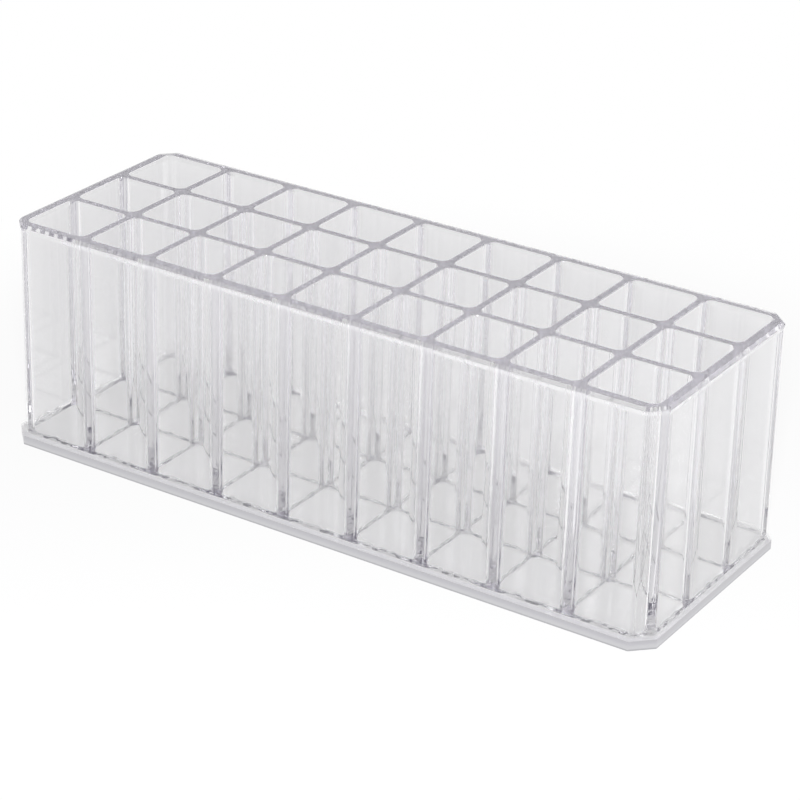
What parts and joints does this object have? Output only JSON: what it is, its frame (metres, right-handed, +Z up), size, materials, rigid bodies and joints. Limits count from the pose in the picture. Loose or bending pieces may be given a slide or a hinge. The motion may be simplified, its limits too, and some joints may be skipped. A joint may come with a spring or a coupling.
{
  "type": "vanity organizer",
  "caption": "Clear moulded block of upright square wells on a flat base plate, for standing lipsticks, lip gloss tubes and small brushes.",
  "frame": {"origin": "centre of the base plate's underside", "axes": "+X along the length, +Y from front to back, +Z up out of the wells"},
  "size_m": [0.2144, 0.0776, 0.0692],
  "materials": {
    "moulded_clear": "glossy",
    "plate_clear": "glossy",
    "cured_cement": "satin"
  },
  "bodies": {
    "root": {"well_block": "moulded_clear", "base_plate": "plate_clear", "cement_film": "cured_cement"}
  },
  "joints": []
}
